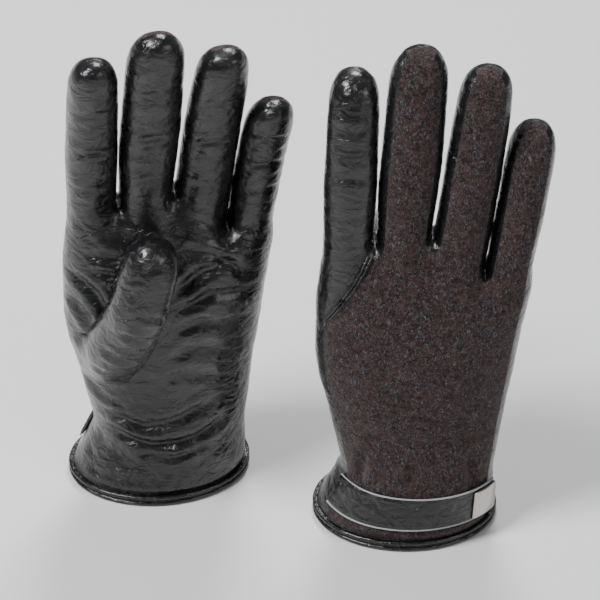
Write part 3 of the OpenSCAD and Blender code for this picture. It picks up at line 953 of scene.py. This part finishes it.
# %% The lining and the elastic
LINING_IN, ELASTIC_IN = 2.2 * MM, 1.1 * MM      # how far each lies inside the skin
LINING_TOP = knuckle_z - 2 * MM
ELASTIC_LOW, ELASTIC_HIGH = 30 * MM, 38 * MM
FACES_PALM = 0.35                               # the elastic only spans faces that look this much palmward
LINED = ("hand_back", "hand_palm", "index_quarter", "cuff_back", "cuff_palm")
hand_marks = {panel_names.index(n) for n in LINED}
palm_mark = panel_names.index("hand_palm")


def in_lining(face):
    """Whether the lining runs behind a face of the skin."""
    return face[panel_layer] in hand_marks and face.calc_center_median().z < LINING_TOP


def in_elastic(face):
    """Whether the elastic runs behind a face of the skin."""
    high_enough = ELASTIC_LOW < face.calc_center_median().z < ELASTIC_HIGH
    return face[panel_layer] == palm_mark and high_enough and face.normal.y > FACES_PALM


lining = skin_patch("hand_lining", in_lining, LINING_IN)
lining.data.attributes.remove(lining.data.attributes["whole_normal"])
settle(lining, "hand_lining", "hand", ("hand_lining",))
elastic = skin_patch("wrist_elastic", in_elastic, ELASTIC_IN)
elastic.data.attributes.remove(elastic.data.attributes["whole_normal"])
print("elastic of", len(elastic.data.polygons), "faces")
settle(elastic, "wrist_elastic", "hand", ("wrist_elastic",))

# %% [markdown]
# ## Tools for the trims
# The straps, bindings and metal are made flat and wrapped round the cuff's own outline. A turned edge
# is a round tube of leather, and a stitch is a short tube of thread.

# %% Helpers for the trims
def round_cuff(z, turn, off):
    """A point off outside the cuff's face, at height z and angle turn in degrees."""
    cx, a, b = outline(z)
    angle = math.radians(turn)
    return Vector((cx + (a + off) * math.cos(angle), (b + off) * math.sin(angle), z))


def wrapped(name, heights, turns, off, thickness, bevel, across=8, along=64, crown=0.0):
    """A flat strip wrapped round the cuff, then thickened outward and bevelled.

    off(turn) is how far it lies outside the cuff, and crown how far its middle is domed.
    """
    bm = bmesh.new()
    bmesh.ops.create_grid(bm, x_segments=along, y_segments=across, size=0.5)
    for v in bm.verts:
        u, w, turn = v.co.x, v.co.y, turns[0] + (turns[1] - turns[0]) * (v.co.x + 0.5)
        dome = crown * (1 - 4 * u * u) * (1 - 4 * w * w)
        v.co = round_cuff(heights[0] + (heights[1] - heights[0]) * (w + 0.5), turn, off(turn) + dome)
    bmesh.ops.recalc_face_normals(bm, faces=bm.faces)
    centre = Vector((outline(heights[0])[0], 0, heights[0]))
    if sum((f.calc_center_median() - centre).dot(f.normal) for f in bm.faces) < 0:
        bmesh.ops.reverse_faces(bm, faces=bm.faces)
    mesh = bpy.data.meshes.new(name)
    bm.to_mesh(mesh)
    bm.free()
    obj = bpy.data.objects.new(name, mesh)
    bpy.context.scene.collection.objects.link(obj)
    thick = obj.modifiers.new("thick", "SOLIDIFY")
    thick.thickness = thickness
    thick.offset = 1
    edge = obj.modifiers.new("edge", "BEVEL")
    edge.width = bevel
    edge.segments = 3
    edge.limit_method = "ANGLE"
    return baked(obj)


def tubes(name, lines, radius, closed=False):
    """Round tubes along lines of points, as one mesh."""
    curve = bpy.data.curves.new(name, "CURVE")
    curve.dimensions = "3D"
    curve.bevel_depth = radius
    curve.bevel_resolution = 3
    curve.use_fill_caps = True
    for line in lines:
        spline = curve.splines.new("POLY")
        spline.points.add(len(line) - 1)
        for point, place in zip(spline.points, line):
            point.co = (*place, 1)
        spline.use_cyclic_u = closed
    obj = bpy.data.objects.new(name, curve)
    bpy.context.scene.collection.objects.link(obj)
    return baked(obj)


def stitches(line, length=2.1 * MM, gap=1.2 * MM):
    """Short stretches along a line of points, as the tops of stitches, measured along the whole line."""
    run = np.concatenate([[0.0], np.cumsum([(b - a).length for a, b in zip(line[:-1], line[1:])])])
    path = np.array([tuple(p) for p in line])

    def along(at):
        return Vector([float(np.interp(at, run, path[:, i])) for i in range(3)])

    starts = np.arange(gap / 2, run[-1] - length, length + gap)
    return [[along(at), along(at + length / 2), along(at + length)] for at in starts]


print("tools ready; the cuff is", round(2 * outline(seam_z)[1], 4), "wide at the wrist seam")

# %% [markdown]
# ## Strap and plate
# The strap lies over the back of the wrist: black leather with pale painted edges, a row of stitches
# along each side and one across its sewn end, and a crowned metal plate on its free end. Its height
# and the angles it covers are read from the CAD pieces.

# %% The strap
strap_cloud = node_points("wrist_strap")
strap_low, strap_high = float(strap_cloud[:, 2].min()), float(strap_cloud[:, 2].max())


def turns_of(cloud):
    """The first and last angle round the cuff that a CAD piece covers."""
    found = []
    for x, y, z in cloud:
        cx, a, b = outline(z)
        found.append(math.degrees(math.atan2(y / b, (x - cx) / a)) % 360)
    return min(found), max(found)


strap_turns = turns_of(strap_cloud)
plate_turns = turns_of(node_points("strap_plate"))
STRAP_OFF, STRAP_T = 1.8 * MM, 1.6 * MM
SEWN_OFF = 0.5 * MM         # how far the strap's sewn end lies off the cuff
RISE_OVER = 45              # degrees over which it rises to its full distance
EDGE_R = 0.5 * MM           # radius of the painted edge
ROW_IN = 1.7 * MM           # the rows of stitches run this far inside the strap's edges
PLATE_IN = 0.4 * MM         # the plate is this much narrower than the strap on each side


def strap_off(turn):
    """The strap lies on the cuff at its sewn end and stands off it for the press stud further on."""
    return SEWN_OFF + (STRAP_OFF - SEWN_OFF) * float(smooth((turn - strap_turns[0]) / RISE_OVER))


strap = wrapped("wrist_strap", (strap_low, strap_high), strap_turns, strap_off, STRAP_T, 0.45 * MM)
settle(strap, "wrist_strap", "strap", ("wrist_strap",))
edge_lines = [[round_cuff(z, t, strap_off(t) + STRAP_T * 0.62) for t in np.linspace(*strap_turns, 90)]
              for z in (strap_low - 0.2 * MM, strap_high + 0.2 * MM)]
settle(tubes("strap_edging", edge_lines, EDGE_R), "strap_edging", "strap", ("strap_edging",))
plate = wrapped("strap_plate", (strap_low + PLATE_IN, strap_high - PLATE_IN), plate_turns,
                lambda turn: STRAP_OFF + STRAP_T, 1.0 * MM, 0.45 * MM, 16, 20, 1.1 * MM)
settle(plate, "strap_plate", "strap", ("strap_plate",))
print("strap turns", [round(t) for t in strap_turns], "plate turns", [round(t) for t in plate_turns])

# %% The strap's stitches
end_row = [round_cuff(z, strap_turns[0] + 2.5, strap_off(strap_turns[0]) + STRAP_T + 0.12 * MM)
           for z in np.linspace(strap_low + 1 * MM, strap_high - 1 * MM, 8)]
row_turns = np.linspace(strap_turns[0] + 3, plate_turns[0] - 1, 120)
side_rows = [[round_cuff(z, t, strap_off(t) + STRAP_T + 0.05 * MM) for t in row_turns]
             for z in (strap_low + ROW_IN, strap_high - ROW_IN)]
strap_thread = [p for line in [*side_rows, end_row] for p in stitches(line, 1.9 * MM, 1.0 * MM)]
settle(tubes("strap_stitches", strap_thread, 0.2 * MM), "strap_stitches", "strap", (), "thread")
print(len(strap_thread), "stitches on each strap")

# %% [markdown]
# ## Hem
# The hem is bound with a strip of leather whose two turned edges stand out as rolls, with a row of
# stitches between them. The lower roll is pressed flat underneath, where the glove stands on it.

# %% The hem binding
full_turn = np.linspace(0, 360, 145)[:-1]
ROLL_HEIGHTS, ROLL_R, ROLL_OFF = (1.3 * MM, 4.2 * MM), 1.0 * MM, 0.9 * MM
BINDING_IN, BINDING_T = 1.2 * MM, 2.2 * MM      # how far inside the outline it begins, and its thickness
STAND_Z = 0.05 * MM                             # the rolls reach no lower than this
hem_lines = [[round_cuff(z, t, ROLL_OFF) for t in full_turn] for z in ROLL_HEIGHTS]
binding = wrapped("hem_binding", (0.0, hem_top_z), (0, 360), lambda turn: -BINDING_IN, BINDING_T,
                  0.4 * MM, 4, 144)
rolls = tubes("hem_rolls", hem_lines, ROLL_R, closed=True)
for v in rolls.data.vertices:
    v.co.z = max(v.co.z, STAND_Z)
join = bmesh.new()
join.from_mesh(binding.data)
join.from_mesh(rolls.data)
join.to_mesh(binding.data)
join.free()
bpy.data.objects.remove(rolls)
settle(binding, "hem_binding", "hand", ("hem_binding",))
thread_line = [round_cuff(2.75 * MM, t, 1.15 * MM) for t in np.linspace(0, 360, 145)]
hem_thread = stitches(thread_line)
settle(tubes("hem_stitches", hem_thread, 0.24 * MM), "hem_stitches", "hand", (), "thread")
print(len(hem_thread), "stitches round each hem")

# %% [markdown]
# ## The diagonal seam
# The seam between the leather quarter and the wool back is piped: two fine rolls of leather laid on
# the skin's own cut, so they follow its folds, with a row of stitches beside them.

# %% The piping and its stitches
PIPING_R, PIPING_APART = 0.62 * MM, 1.5 * MM
NEAR_SEAM = 3 * MM      # points of the cut farther than this from the seam's plane belong elsewhere
quarter, back_panel = panel_names.index("index_quarter"), panel_names.index("hand_back")
seam_verts = {v for e in whole.edges if {f[panel_layer] for f in e.link_faces} == {quarter, back_panel}
              for v in e.verts if abs((v.co - diagonal_from).dot(diagonal_no)) < NEAR_SEAM}
seam = sorted(seam_verts, key=lambda v: v.co.z)
seam_points = [v.co + v.normal * 0.35 * MM for v in seam]
print("diagonal seam of", len(seam), "points from z", round(seam[0].co.z, 3), "to", round(seam[-1].co.z, 3))
rolls = [[p + diagonal_no * off for p in seam_points] for off in (-PIPING_APART / 2, PIPING_APART / 2)]
settle(tubes("seam_piping", rolls, PIPING_R), "seam_piping", "hand", ("seam_piping",))
side_line = [v.co + v.normal * 0.2 * MM + diagonal_no * 2.6 * MM for v in seam[::3]]
settle(tubes("seam_stitches", stitches(side_line), 0.22 * MM), "seam_stitches", "hand", (), "thread")

# %% [markdown]
# ## Press stud
# The stud's post and socket are small turned metal pieces, so they keep the CAD shape and only get
# their metal.

# %% The press stud
for side in SIDES:
    for name in ("stud_post", "stud_socket"):
        stud = frame["nodes"][f"{side}_{name}"]
        stud.data.materials.clear()
        stud.data.materials.append(MATERIAL["polished_metal"])
whole.free()
print("press studs in", MATERIAL["polished_metal"].name)

# %% [markdown]
# ## Floor, light and camera
# A plain pale floor and soft studio light. The camera looks down at about 36 degrees with a long lens.

# %% Floor and light
def look_at(obj, place, target):
    """Puts obj at place, looking at target."""
    obj.location = place
    obj.rotation_euler = (Vector(target) - Vector(place)).to_track_quat("-Z", "Y").to_euler()


def area_light(name, place, target, size, power):
    """A round soft light, its power in watts."""
    data = bpy.data.lights.new(name, "AREA")
    data.shape = "DISK"
    data.size = size
    data.energy = power
    obj = bpy.data.objects.new(name, data)
    bpy.context.scene.collection.objects.link(obj)
    look_at(obj, place, target)


target = Vector((0, 0, 0.104))
bpy.ops.mesh.primitive_plane_add(size=6, location=(0, 0, 0))
floor = bpy.context.object
floor.name = "floor"
floor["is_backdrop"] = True
area_light("key", (-0.75, -0.35, 1.35), target, 0.5, 27)
area_light("fill", (1.1, -0.9, 0.9), target, 0.7, 5)
area_light("rim", (0.1, 0.9, 1.3), target, 0.45, 18)
world = bpy.data.worlds.new("studio")
world.use_nodes = True
world.node_tree.nodes["Background"].inputs[0].default_value = (0.8, 0.82, 0.85, 1)
world.node_tree.nodes["Background"].inputs[1].default_value = 0.2
bpy.context.scene.world = world
print("lights:", ", ".join(light.name for light in bpy.data.lights if light.users))

# %% The camera
LENS, SENSOR = 218, 36          # mm
ELEVATION, DISTANCE = 36, 1.6   # degrees up from the floor, metres away
camera_data = bpy.data.cameras.new("camera")
camera_data.lens = LENS
camera_data.sensor_width = SENSOR
camera = bpy.data.objects.new("camera", camera_data)
bpy.context.scene.collection.objects.link(camera)
elevation = math.radians(ELEVATION)
look_at(camera, target + Vector((0, -math.cos(elevation), math.sin(elevation))) * DISTANCE, target)
bpy.context.scene.camera = camera
print("camera", round(camera.location.length, 2), "m from the hems' middle")

# %% [markdown]
# ## Sizes
# The CAD model's box and the finished object's box, side by side.

# %% Sizes
boxes = {"cad": cad_box, "visual": [list(corner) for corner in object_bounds()]}
print({key: [[round(v, 4) for v in corner] for corner in box] for key, box in boxes.items()})
